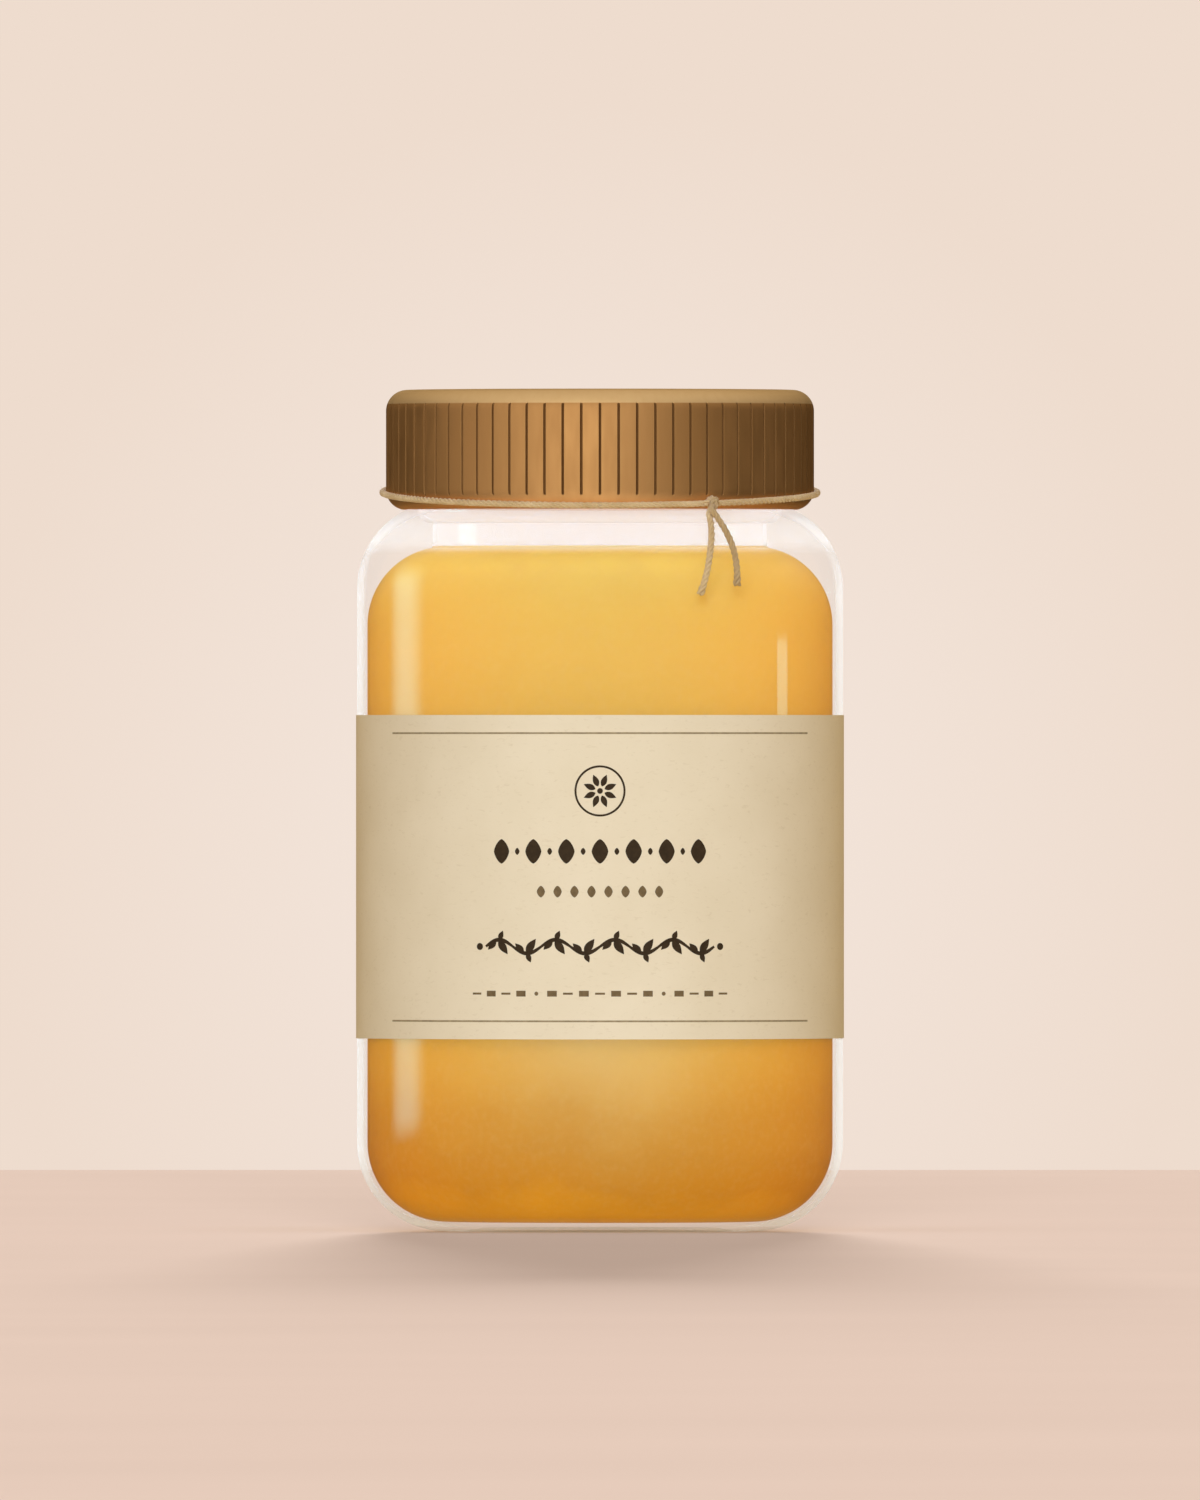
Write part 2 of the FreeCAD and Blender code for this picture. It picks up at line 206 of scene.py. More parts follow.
def link(tree, a, b):
    tree.links.new(a, b)


def ramp(tree, fac, stops, interpolation="LINEAR"):
    r = tree.nodes.new("ShaderNodeValToRGB")
    r.color_ramp.interpolation = interpolation
    e = r.color_ramp.elements
    while len(e) > 1:
        e.remove(e[-1])
    e[0].position, e[0].color = stops[0]
    for position, colour in stops[1:]:
        x = e.new(position)
        x.color = colour
    link(tree, fac, r.inputs["Fac"])
    return r.outputs["Color"]


def grey(v):
    return (v, v, v, 1.0)


def maths(tree, operation, a, b=None, clamp=False):
    m = tree.nodes.new("ShaderNodeMath")
    m.operation = operation
    m.use_clamp = clamp
    for i, value in enumerate((a, b)):
        if value is None:
            continue
        if isinstance(value, (int, float)):
            m.inputs[i].default_value = value
        else:
            link(tree, value, m.inputs[i])
    return m.outputs[0]


def mix(tree, fac, a, b, blend="MIX"):
    m = tree.nodes.new("ShaderNodeMix")
    m.data_type = "RGBA"
    m.blend_type = blend
    if isinstance(fac, (int, float)):
        m.inputs[0].default_value = fac
    else:
        link(tree, fac, m.inputs[0])
    for socket, value in ((m.inputs[6], a), (m.inputs[7], b)):
        if isinstance(value, tuple):
            socket.default_value = value
        else:
            link(tree, value, socket)
    return m.outputs[2]


def noise(tree, vector, scale, detail=3.0, rough=0.5, distortion=0.0):
    n = node(tree, "ShaderNodeTexNoise")
    n.inputs["Scale"].default_value = scale
    n.inputs["Detail"].default_value = detail
    n.inputs["Roughness"].default_value = rough
    n.inputs["Distortion"].default_value = distortion
    link(tree, vector, n.inputs["Vector"])
    return n.outputs[0]


def stretched(tree, coords, scale):
    m = tree.nodes.new("ShaderNodeMapping")
    m.inputs["Scale"].default_value = scale
    link(tree, coords, m.inputs["Vector"])
    return m.outputs[0]


def bump(tree, height, strength, distance, normal=None):
    b = tree.nodes.new("ShaderNodeBump")
    b.inputs["Strength"].default_value = strength
    b.inputs["Distance"].default_value = distance
    link(tree, height, b.inputs["Height"])
    if normal is not None:
        link(tree, normal, b.inputs["Normal"])
    return b.outputs[0]


def object_coords(tree):
    return tree.nodes.new("ShaderNodeTexCoord").outputs["Object"]


def give(obj, mat, body="root"):
    obj.data.materials.clear()
    obj.data.materials.append(mat)
    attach(obj, body)


# ============================================================ glass
neck_foot = SHOULDER_Z + math.sqrt(SHOULDER_R**2 - (NECK_R - SHOULDER_CX) ** 2)
throat_foot = SHOULDER_IN_Z + math.sqrt(CORNER_IN**2 - (THROAT_R - INNER_CX) ** 2)
a_neck = angle_of(SHOULDER_CX, SHOULDER_Z, (NECK_R, neck_foot))
a_throat = angle_of(INNER_CX, SHOULDER_IN_Z, (THROAT_R, throat_foot))

glass_profile = [(0.0, PUNT_RISE), (9.0, PUNT_RISE), (16.5, PUNT_RISE)]
# the rim of the recess rolls over into the bearing ring
glass_profile += arc(17.4, PUNT_RISE - 0.9, 0.9, 90, 60, 4)
glass_profile += arc(19.8, 0.5, 0.5, 235, 270, 4)
glass_profile += line((19.8, 0.0), (SHOULDER_CX, 0.0), 3)
glass_profile += arc(SHOULDER_CX, HEEL_R, HEEL_R, -90, 0, 30)
glass_profile += line((BODY_R, HEEL_R), (BODY_R, SHOULDER_Z), 14)
glass_profile += arc(SHOULDER_CX, SHOULDER_Z, SHOULDER_R, 0, a_neck - 0.8, 26)
# a small fillet where the neck leaves the shoulder
glass_profile += [(NECK_R + 0.06, neck_foot + 0.12), (NECK_R, neck_foot + 0.32)]
glass_profile += line((NECK_R, neck_foot + 0.32), (NECK_R, LIP_Z - LIP_ROUND), 8)
glass_profile += arc(NECK_R - LIP_ROUND, LIP_Z - LIP_ROUND, LIP_ROUND, 0, 90, 8)
glass_profile += arc(BORE_R + 0.4, LIP_Z - 0.4, 0.4, 90, 180, 5)
glass_profile += line((BORE_R, LIP_Z - 0.4), (BORE_R, STEP_Z + STEP_ROUND), 8)
glass_profile += arc(BORE_R - STEP_ROUND, STEP_Z + STEP_ROUND, STEP_ROUND, 0, -86, 10)
glass_profile += arc(THROAT_R + 0.16, STEP_Z - 0.16, 0.16, 95, 180, 4)
glass_profile += line((THROAT_R, STEP_Z - 0.16), (THROAT_R, throat_foot), 5)
glass_profile += arc(INNER_CX, SHOULDER_IN_Z, CORNER_IN, a_throat, 0, 26)
glass_profile += line(
    (WALL_IN_R, SHOULDER_IN_Z), (WALL_IN_R, FLOOR_Z + CORNER_IN), 12
)
glass_profile += arc(INNER_CX, FLOOR_Z + CORNER_IN, CORNER_IN, 0, -90, 26)
glass_profile += [(15.0, FLOOR_Z), (7.0, FLOOR_Z), (0.0, FLOOR_Z)]
glass = lathe("jar_glass", glass_profile, even(400))
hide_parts("glass_jar")

mat_glass, t, out = material("clear_glass")
coords = object_coords(t)
facing = node(t, "ShaderNodeLayerWeight", Blend=0.5).outputs["Facing"]
# reflection grows towards grazing, alike from both sides of the surface
grazing = maths(t, "POWER", facing, 5.0)
reflect = maths(t, "MULTIPLY_ADD", grazing, 0.10, clamp=True)
reflect.node.inputs[2].default_value = 0.018
# the body of the glass is faintly milky: in its thick neck, and most of all
# where it is seen edge on
parts = node(t, "ShaderNodeSeparateXYZ")
link(t, coords, parts.inputs[0])
neck = maths(t, "SUBTRACT", parts.outputs["Z"], 0.0995)
neck = maths(t, "DIVIDE", neck, 0.002, clamp=True)
edge = ramp(
    t,
    facing,
    [
        (0.0, grey(0.008)),
        (0.69, grey(0.010)),
        (0.735, grey(0.045)),
        (0.785, grey(0.42)),
        (0.84, grey(0.52)),
        (1.0, grey(0.70)),
    ],
)
# inside the neck the edges show less
far = maths(
    t,
    "SQRT",
    maths(
        t,
        "ADD",
        maths(t, "MULTIPLY", parts.outputs["X"], parts.outputs["X"]),
        maths(t, "MULTIPLY", parts.outputs["Y"], parts.outputs["Y"]),
    ),
)
inner = maths(t, "LESS_THAN", far, 0.0272)
edge = maths(t, "MULTIPLY", edge, maths(t, "SUBTRACT", 1.0, maths(t, "MULTIPLY", inner, 0.72)))
# and less over the shoulder, which turns away from the eye more slowly
over = maths(t, "SUBTRACT", parts.outputs["Z"], 0.0935)
over = maths(t, "DIVIDE", over, 0.0055, clamp=True)
edge = maths(t, "MULTIPLY", edge, maths(t, "SUBTRACT", 1.0, maths(t, "MULTIPLY", over, 0.58)))
heel = maths(t, "SUBTRACT", 0.0120, parts.outputs["Z"])
heel = maths(t, "DIVIDE", heel, 0.0070, clamp=True)
edge = maths(t, "MULTIPLY", edge, maths(t, "SUBTRACT", 1.0, maths(t, "MULTIPLY", heel, 0.42)))
foot = maths(t, "SUBTRACT", 0.0022, parts.outputs["Z"])
foot = maths(t, "DIVIDE", foot, 0.0008, clamp=True)
thick = maths(t, "ADD", maths(t, "MULTIPLY", neck, 0.23), maths(t, "MULTIPLY", foot, 0.05))
veil = maths(t, "ADD", edge, thick, clamp=True)
clear = node(t, "ShaderNodeBsdfTransparent")
clear.inputs["Color"].default_value = (0.998, 0.998, 0.996, 1.0)
milk = node(t, "ShaderNodeBsdfDiffuse")
milk.inputs["Color"].default_value = (0.98, 0.965, 0.945, 1.0)
through = node(t, "ShaderNodeMixShader")
link(t, veil, through.inputs[0])
link(t, clear.outputs[0], through.inputs[1])
link(t, milk.outputs[0], through.inputs[2])
gloss = node(t, "ShaderNodeBsdfGlossy")
gloss.inputs["Color"].default_value = (1.0, 1.0, 1.0, 1.0)
gloss.inputs["Roughness"].default_value = 0.03
# slow waves of pressed glass
ripple = noise(t, stretched(t, coords, (30.0, 30.0, 14.0)), 1.0, 1.0)
link(t, bump(t, ripple, 0.12, 0.002), gloss.inputs["Normal"])
skin = node(t, "ShaderNodeMixShader")
link(t, reflect, skin.inputs[0])
link(t, through.outputs[0], skin.inputs[1])
link(t, gloss.outputs[0], skin.inputs[2])
link(t, skin.outputs[0], out.inputs["Surface"])
give(glass, mat_glass)

# ============================================================ honey
# It reaches a little way into the glass, so that no air shows between them.
IN = 0.08
honey_profile = [(0.0, FLOOR_Z - IN), (8.0, FLOOR_Z - IN), (16.0, FLOOR_Z - IN)]
honey_profile += arc(INNER_CX, FLOOR_Z + CORNER_IN, CORNER_IN + IN, -90, 0, 28)
honey_profile += line(
    (WALL_IN_R + IN, FLOOR_Z + CORNER_IN), (WALL_IN_R + IN, SHOULDER_IN_Z), 24
)
honey_profile += arc(INNER_CX, SHOULDER_IN_Z, CORNER_IN + IN, 0, a_throat - 0.4, 28)
# the throat's wall, then the meniscus that climbs it
honey_profile += [(THROAT_R + IN, throat_foot + 0.1), (THROAT_R + IN, HONEY_Z + 0.02)]
honey_profile += [
    (THROAT_R + IN - 0.12, HONEY_Z + 0.16),
    (THROAT_R - 0.25, HONEY_Z + 0.08),
    (THROAT_R - 0.7, HONEY_Z - 0.02),
    (THROAT_R - 1.4, HONEY_Z - 0.09),
    (THROAT_R - 2.4, HONEY_Z - 0.12),
]
honey_profile += [(16.0, HONEY_Z - 0.12), (8.0, HONEY_Z - 0.12), (0.0, HONEY_Z - 0.12)]
honey = lathe("honey_body", honey_profile, even(256))
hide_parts("honey")
# its bright sides would otherwise stain the floor and the lid orange
honey.visible_diffuse = False

mat_honey, t, out = material("honey")
coords = object_coords(t)
parts = node(t, "ShaderNodeSeparateXYZ")
link(t, coords, parts.inputs[0])
drift = noise(t, coords, 42.0, 3.0, 0.55, 0.4)
lift = maths(t, "MULTIPLY_ADD", drift, 0.012)
lift.node.inputs[2].default_value = -0.006
height = maths(t, "ADD", parts.outputs["Z"], lift)
level = maths(t, "DIVIDE", height, 0.1015, clamp=True)
# the honey's colour by height, paler towards the top; it also holds painted light: lifted low at the heel,
# which turns from the lights, and just under the label, to cancel its shade
honey_colour_and_painted_light = ramp(
    t,
    level,
    [
        (0.000, (0.860, 0.375, 0.0190, 1)),
        (0.030, (0.810, 0.345, 0.0180, 1)),
        (0.065, (0.670, 0.278, 0.0180, 1)),
        (0.117, (0.630, 0.276, 0.0220, 1)),
        (0.175, (0.675, 0.315, 0.0290, 1)),
        (0.270, (0.810, 0.440, 0.0580, 1)),
        (0.500, (0.770, 0.430, 0.0700, 1)),
        (0.770, (0.823, 0.479, 0.0880, 1)),
        (0.842, (0.875, 0.518, 0.0990, 1)),
        (0.915, (0.870, 0.535, 0.1020, 1)),
        (0.950, (0.890, 0.575, 0.1180, 1)),
        (1.000, (0.990, 0.700, 0.1300, 1)),
    ],
)
# painted light: a pale glow low in the middle of the jar, front and back, painted into the honey's colour
# by position, standing for light gathered inside it
dx = maths(t, "DIVIDE", parts.outputs["X"], 0.032)
dz = maths(t, "SUBTRACT", height, 0.0300)
dz = maths(t, "DIVIDE", dz, 0.027)
away = maths(
    t,
    "ADD",
    maths(t, "MULTIPLY", dx, dx),
    maths(t, "MULTIPLY", dz, dz),
)
painted_glow = ramp(
    t,
    maths(t, "SQRT", away),
    [
        (0.0, grey(0.38)),
        (0.17, grey(0.335)),
        (0.33, grey(0.23)),
        (0.50, grey(0.123)),
        (0.67, grey(0.052)),
        (0.83, grey(0.016)),
        (1.0, grey(0.0)),
    ],
)
honey_colour_and_painted_light = mix(t, painted_glow, honey_colour_and_painted_light, (0.86, 0.67, 0.33, 1.0))
# faint crystal haze
haze = noise(t, coords, 900.0, 2.0, 0.6)
haze = ramp(t, haze, [(0.45, grey(0.0)), (0.75, grey(0.05))])
honey_colour_and_painted_light = mix(t, haze, honey_colour_and_painted_light, (0.95, 0.72, 0.34, 1.0))
# a painted highlight: the paler rim at the surface
top = maths(t, "SUBTRACT", parts.outputs["Z"], 0.0999)
top = maths(t, "DIVIDE", top, 0.0005, clamp=True)
honey_colour_and_painted_light = mix(t, maths(t, "MULTIPLY", top, 0.50), honey_colour_and_painted_light, (1.0, 0.84, 0.44, 1.0))
body = node(t, "ShaderNodeBsdfPrincipled")
link(t, honey_colour_and_painted_light, body.inputs["Base Color"])
body.inputs["Roughness"].default_value = 0.34
body.inputs["IOR"].default_value = 1.48
body.inputs["Specular IOR Level"].default_value = 0.05
body.inputs["Subsurface Weight"].default_value = 0.14
body.inputs["Subsurface Radius"].default_value = (1.0, 0.55, 0.16)
body.inputs["Subsurface Scale"].default_value = 0.005
swirl = noise(t, coords, 70.0, 2.0, 0.5, 0.6)
link(t, bump(t, swirl, 0.10, 0.001), body.inputs["Normal"])
link(t, body.outputs[0], out.inputs["Surface"])
give(honey, mat_honey)

# ============================================================ lid
skirt_foot = (LID_LOW + LID_ROUND_LOW) - math.sqrt(
    LID_ROUND_LOW**2 - (SKIRT_R - (LID_R - LID_ROUND_LOW)) ** 2
)
low_cx, low_cz = LID_R - LID_ROUND_LOW, LID_LOW + LID_ROUND_LOW
top_cx, top_cz = LID_R - LID_ROUND_TOP, LID_TOP - LID_ROUND_TOP
lid_profile = [(0.0, LIP_Z), (12.0, LIP_Z), (22.0, LIP_Z)]
lid_profile += [(SKIRT_R - 0.4, LIP_Z)] + arc(
    SKIRT_R - 0.4, LIP_Z - 0.4, 0.4, 80, 0, 4
)
lid_profile += line((SKIRT_R, LIP_Z - 0.4), (SKIRT_R, skirt_foot + 0.15), 6)
lid_profile += [(SKIRT_R, skirt_foot + 0.12), (SKIRT_R + 0.08, skirt_foot + 0.02)]
a_low = angle_of(low_cx, low_cz, (SKIRT_R + 0.2, skirt_foot))
lid_profile += arc(low_cx, low_cz, LID_ROUND_LOW, a_low, 0, 16)
for z in (109.3, 110.0, 111.5, 113.0, 115.0, 117.0, 119.0, 120.2):
    lid_profile.append((LID_R, z))
low_round = arc(low_cx, low_cz, LID_ROUND_LOW, a_low, 0, 16)
lid_profile += arc(top_cx, top_cz, LID_ROUND_TOP, 0, 90, 22)
# a shallow step sets the top's flat panel off from its rolled edge
lid_profile += [(27.2, LID_TOP), (26.7, LID_TOP - 0.03), (26.2, LID_TOP - 0.16)]
lid_profile += [(25.7, LID_TOP - 0.22), (20.0, LID_TOP - 0.22)]
lid_profile += [(12.0, LID_TOP - 0.22), (5.0, LID_TOP - 0.22), (0.0, LID_TOP - 0.22)]

# extra rings where the grooves begin and end
extra = []
for r, z in lid_profile:
    extra.append((r, z))
for z in (RIB_LOW - 0.12, RIB_LOW + 0.02, RIB_LOW + 0.18, RIB_LOW + 0.4):
    a = math.degrees(math.asin((z - low_cz) / LID_ROUND_LOW))
    extra.append((low_cx + LID_ROUND_LOW * math.cos(math.radians(a)), z))
for z in (RIB_HIGH - 0.4, RIB_HIGH - 0.18, RIB_HIGH - 0.02, RIB_HIGH + 0.12):
    a = math.degrees(math.asin((z - top_cz) / LID_ROUND_TOP))
    extra.append((top_cx + LID_ROUND_TOP * math.cos(math.radians(a)), z))
inside = [p for p in lid_profile[: lid_profile.index(low_round[0])]]
outer = [p for p in extra if p not in inside and p[0] > 28.39 and p[1] < LID_TOP - 1e-6]
outer_side = sorted(
    (p for p in outer if p[0] >= low_cx), key=lambda p: (p[1], -p[0])
)
panel = [p for p in lid_profile if p[1] > LID_TOP - 0.3 and p[0] <= top_cx + 1e-6]
lid_profile = inside + outer_side + panel

# round each groove the mesh is finer than between grooves
step = 2 * math.pi / RIBS
half_groove = RIB_W / 2 / LID_R
fine = [-1.35, -1.0, -0.72, -0.40, 0.0, 0.40, 0.72, 1.0, 1.35]
lid_angles = []
for k in range(RIBS):
    base = -math.pi / 2 + k * step
    lid_angles += [base + f * half_groove for f in fine]
    gap = step - 2 * 1.35 * half_groove
    lid_angles += [base + 1.35 * half_groove + gap * f for f in (0.25, 0.5, 0.75)]
groove_mask = {}


def groove(r, z, a):
    """The lid's radius where a groove runs, with ends that fade out."""
    if r < 30.0 or z < RIB_LOW - 0.2 or z > RIB_HIGH + 0.2:
        return r
    along = min(
        max((z - RIB_LOW) / 0.2, 0.0),
        max((RIB_HIGH - z) / 0.2, 0.0),
        1.0,
    )
    off = (a + math.pi / 2) % step
    off = min(off, step - off) / half_groove
    if off >= 1.0 or along <= 0.0:
        return r
    down = (1.0 - off) ** 0.9
    return r - RIB_D * down * along


lid = lathe("lid_shell", lid_profile, lid_angles, shape=groove)
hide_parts("lid")
# a mask that says where the grooves are, for the painted shade in them
mask = lid.data.attributes.new("groove", "FLOAT", "POINT")
values = np.zeros(len(lid.data.vertices), np.float32)
place = np.empty(len(lid.data.vertices) * 3, np.float32)
lid.data.vertices.foreach_get("co", place)
place = place.reshape(-1, 3) * 1000.0
radius = np.hypot(place[:, 0], place[:, 1])
turn = (np.arctan2(place[:, 1], place[:, 0]) + math.pi / 2) % step
off = np.minimum(turn, step - turn) / half_groove
ends = np.clip(
    np.minimum((place[:, 2] - RIB_LOW) / 0.2, (RIB_HIGH - place[:, 2]) / 0.2), 0, 1
)
values = np.where(radius > 30.0, np.clip(1.25 - off, 0, 1) * ends, 0.0)
mask.data.foreach_set("value", values.astype(np.float32))

mat_lid, t, out = material("lid_bronze")
coords = object_coords(t)
parts = node(t, "ShaderNodeSeparateXYZ")
link(t, coords, parts.inputs[0])
tone = noise(t, stretched(t, coords, (60.0, 60.0, 12.0)), 1.0, 4.0, 0.55)
colour = ramp(
    t,
    tone,
    [(0.30, (0.50, 0.262, 0.092, 1)), (0.70, (0.60, 0.325, 0.122, 1))],
)
groove_value = node(t, "ShaderNodeAttribute", attribute_name="groove").outputs["Fac"]
# painted shade: the colour is darkened along the grooves, where they would lie in shade
groove_painted_shade = maths(t, "MULTIPLY", groove_value, 3.2, clamp=True)
colour = mix(t, maths(t, "MULTIPLY", groove_painted_shade, 0.66), colour, (0.11, 0.05, 0.015, 1))
# the rolled rim at the top is painted brighter: a painted highlight where it would catch the light from
# above
rim = maths(t, "SUBTRACT", parts.outputs["Z"], 0.12166)
rim = maths(t, "DIVIDE", rim, 0.00012, clamp=True)
colour = mix(t, maths(t, "MULTIPLY", rim, 0.88), colour, (0.83, 0.580, 0.290, 1))
metal = node(t, "ShaderNodeBsdfPrincipled")
link(t, colour, metal.inputs["Base Color"])
metal.inputs["Metallic"].default_value = 1.0
fine_grain = noise(t, stretched(t, coords, (900.0, 900.0, 160.0)), 1.0, 2.0)
rough = ramp(t, fine_grain, [(0.3, grey(0.54)), (0.7, grey(0.62))])
link(t, rough, metal.inputs["Roughness"])
metal.inputs["Specular Tint"].default_value = (0.16, 0.085, 0.04, 1.0)
# fine rings, as a lathe leaves them, on the flat top only
rings = node(t, "ShaderNodeTexWave", wave_type="RINGS", rings_direction="Z")
rings.inputs["Scale"].default_value = 260.0
rings.inputs["Distortion"].default_value = 0.4
rings.inputs["Detail"].default_value = 2.0
link(t, coords, rings.inputs["Vector"])
flat = maths(t, "GREATER_THAN", parts.outputs["Z"], 0.1234)
spun = bump(t, maths(t, "MULTIPLY", rings.outputs["Fac"], flat), 0.35, 0.00012)
link(t, bump(t, fine_grain, 0.10, 0.0001, spun), metal.inputs["Normal"])
link(t, metal.outputs[0], out.inputs["Surface"])
give(lid, mat_lid)

# ============================================================ label
PAPER_IN = BODY_R + 0.01
PAPER_OUT = BODY_R + PAPER
half_gap = SEAM / 2 / BODY_R
cols = 320
label_verts, label_faces = [], []
rows_z = [LABEL_LOW, LABEL_LOW + 0.05] + [
    LABEL_LOW + (LABEL_HIGH - LABEL_LOW) * i / 12 for i in range(1, 12)
]
rows_z += [LABEL_HIGH - 0.05, LABEL_HIGH]
start, sweep = math.pi / 2 + half_gap, 2 * math.pi - 2 * half_gap
for i in range(cols + 1):
    u = i / cols
    a = start + sweep * u
    # the two ends at the back stand a hair off the glass
    from_end = min(u, 1 - u) * sweep * BODY_R
    curl = 0.10 * max(0.0, 1.0 - from_end / 2.5) ** 2
    for z in rows_z:
        label_verts.append(
            ((PAPER_IN + curl) * MM * math.cos(a), (PAPER_IN + curl) * MM * math.sin(a), z * MM)
        )
    for z in rows_z:
        label_verts.append(
            ((PAPER_OUT + curl) * MM * math.cos(a), (PAPER_OUT + curl) * MM * math.sin(a), z * MM)
        )
m = len(rows_z)
for i in range(cols):
    p, q = i * 2 * m, (i + 1) * 2 * m
    for k in range(m - 1):
        label_faces.append((p + m + k, q + m + k, q + m + k + 1, p + m + k + 1))
        label_faces.append((p + k, p + k + 1, q + k + 1, q + k))
    label_faces.append((p, q, q + m, p + m))
    label_faces.append((p + m - 1, p + 2 * m - 1, q + 2 * m - 1, q + m - 1))
for k in range(m - 1):
    label_faces.append((k, m + k, m + k + 1, k + 1))
    e = cols * 2 * m
    label_faces.append((e + k, e + k + 1, e + m + k + 1, e + m + k))
label = make_object("label_band", label_verts, label_faces, sharp=40)
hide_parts("label")

mat_paper, t, out = material("label_paper")
coords = object_coords(t)
fibres = noise(t, stretched(t, coords, (900.0, 900.0, 2200.0)), 1.0, 4.0, 0.62, 0.8)
cloud = noise(t, coords, 90.0, 3.0, 0.5)
paper_colour = ramp(
    t,
    cloud,
    [(0.30, (0.805, 0.668, 0.468, 1)), (0.70, (0.845, 0.708, 0.508, 1))],
)
flecks = ramp(t, fibres, [(0.30, grey(0.22)), (0.42, grey(0.0)), (1.0, grey(0.0))])
paper_colour = mix(t, flecks, paper_colour, (0.58, 0.43, 0.24, 1))
paper = node(t, "ShaderNodeBsdfPrincipled")
link(t, paper_colour, paper.inputs["Base Color"])
paper.inputs["Roughness"].default_value = 0.86
paper.inputs["Specular IOR Level"].default_value = 0.22
link(t, bump(t, fibres, 0.22, 0.00012), paper.inputs["Normal"])
link(t, paper.outputs[0], out.inputs["Surface"])
give(label, mat_paper)


# ---- print: a generic ornament, no lettering
PRINT_R = PAPER_OUT + 0.012


class Print:
    """Flat shapes in mm across and up, laid round the front of the label."""

    def __init__(self):
        self.verts, self.faces = [], []

    def point(self, u, v):
        a = -math.pi / 2 + u / PRINT_R
        self.verts.append((PRINT_R * MM * math.cos(a), PRINT_R * MM * math.sin(a), v * MM))
        return len(self.verts) - 1

    def strip(self, path, widths):
        """A ribbon of varying width along a path of (u, v)."""
        left, right = [], []
        for i, (u, v) in enumerate(path):
            a = path[max(i - 1, 0)]
            b = path[min(i + 1, len(path) - 1)]
            du, dv = b[0] - a[0], b[1] - a[1]
            size = math.hypot(du, dv) or 1.0
            nu, nv = -dv / size, du / size
            w = widths[i] / 2
            left.append(self.point(u + nu * w, v + nv * w))
            right.append(self.point(u - nu * w, v - nv * w))
        for i in range(len(path) - 1):
            self.faces.append((right[i], right[i + 1], left[i + 1], left[i]))

    def bar(self, u0, u1, v, thick):
        n = max(2, int(abs(u1 - u0) / 0.8))
        path = [(u0 + (u1 - u0) * i / n, v) for i in range(n + 1)]
        self.strip(path, [thick] * (n + 1))

    def blob(self, u, v, ru, rv, sides=20, turn=0.0, power=1.0):
        """An ellipse, or with another power a diamond-like star."""
        centre = self.point(u, v)
        ring = []
        for i in range(sides):
            a = 2 * math.pi * i / sides
            c, s = math.cos(a), math.sin(a)
            x = ru * math.copysign(abs(c) ** power, c)
            y = rv * math.copysign(abs(s) ** power, s)
            ring.append(
                self.point(
                    u + x * math.cos(turn) - y * math.sin(turn),
                    v + x * math.sin(turn) + y * math.cos(turn),
                )
            )
        for i in range(sides):
            self.faces.append((centre, ring[i], ring[(i + 1) % sides]))

    def ring(self, u, v, r, thick, n=64):
        path = [
            (u + r * math.cos(2 * math.pi * i / n), v + r * math.sin(2 * math.pi * i / n))
            for i in range(n + 1)
        ]
        self.strip(path, [thick] * (n + 1))

    def leaf(self, u, v, length, wide, turn):
        n = 10
        path, widths = [], []
        for i in range(n + 1):
            f = i / n
            path.append((u + length * f * math.cos(turn), v + length * f * math.sin(turn)))
            widths.append(wide * math.sin(math.pi * f**0.8) + 0.02)
        self.strip(path, widths)

    def build(self, name, mat):
        obj = make_object(name, self.verts, self.faces)
        give(obj, mat)
        return obj


def ink(name, colour, rough):
    mat, t, out = material(name)
    coords = object_coords(t)
    spread = noise(t, coords, 1400.0, 3.0, 0.6)
    c = ramp(
        t,
        spread,
        [
            (0.30, tuple(x * 0.82 for x in colour[:3]) + (1,)),
            (0.72, tuple(min(1, x * 1.22) for x in colour[:3]) + (1,)),
        ],
    )
    b = node(t, "ShaderNodeBsdfPrincipled")
    link(t, c, b.inputs["Base Color"])
    b.inputs["Roughness"].default_value = rough
    b.inputs["Specular IOR Level"].default_value = 0.3
    link(t, bump(t, spread, 0.15, 0.0001), b.inputs["Normal"])
    link(t, b.outputs[0], out.inputs["Surface"])
    return mat


ink_dark = ink("ink_dark", srgb(60, 44, 28), 0.6)
ink_soft = ink("ink_soft", srgb(118, 96, 66), 0.7)
ink_rule = ink("ink_rule", srgb(158, 138, 104), 0.7)

rules = Print()
rule_half = PRINT_R * math.asin(30.47 / PRINT_R)
for v in (73.27, 31.05):
    rules.bar(-rule_half, rule_half, v, 0.26)
rules.build("label_rules", ink_rule)

dark = Print()
# a ringed rosette
dark.ring(0.0, 64.8, 3.6, 0.30)
for k in range(8):
    a = math.pi / 8 + k * math.pi / 4
    dark.leaf(0.72 * math.cos(a), 64.8 + 0.72 * math.sin(a), 1.85, 0.86, a)
dark.blob(0.0, 64.8, 0.42, 0.42)
# a row of bold lozenges, each set off by a small one
for k in range(-3, 4):
    dark.blob(k * 4.95, 55.95, 1.22, 1.80, 28, 0.0, 1.35)
for k in range(-3, 3):
    dark.blob((k + 0.5) * 4.95, 55.95, 0.36, 0.52, 16, 0.0, 1.3)
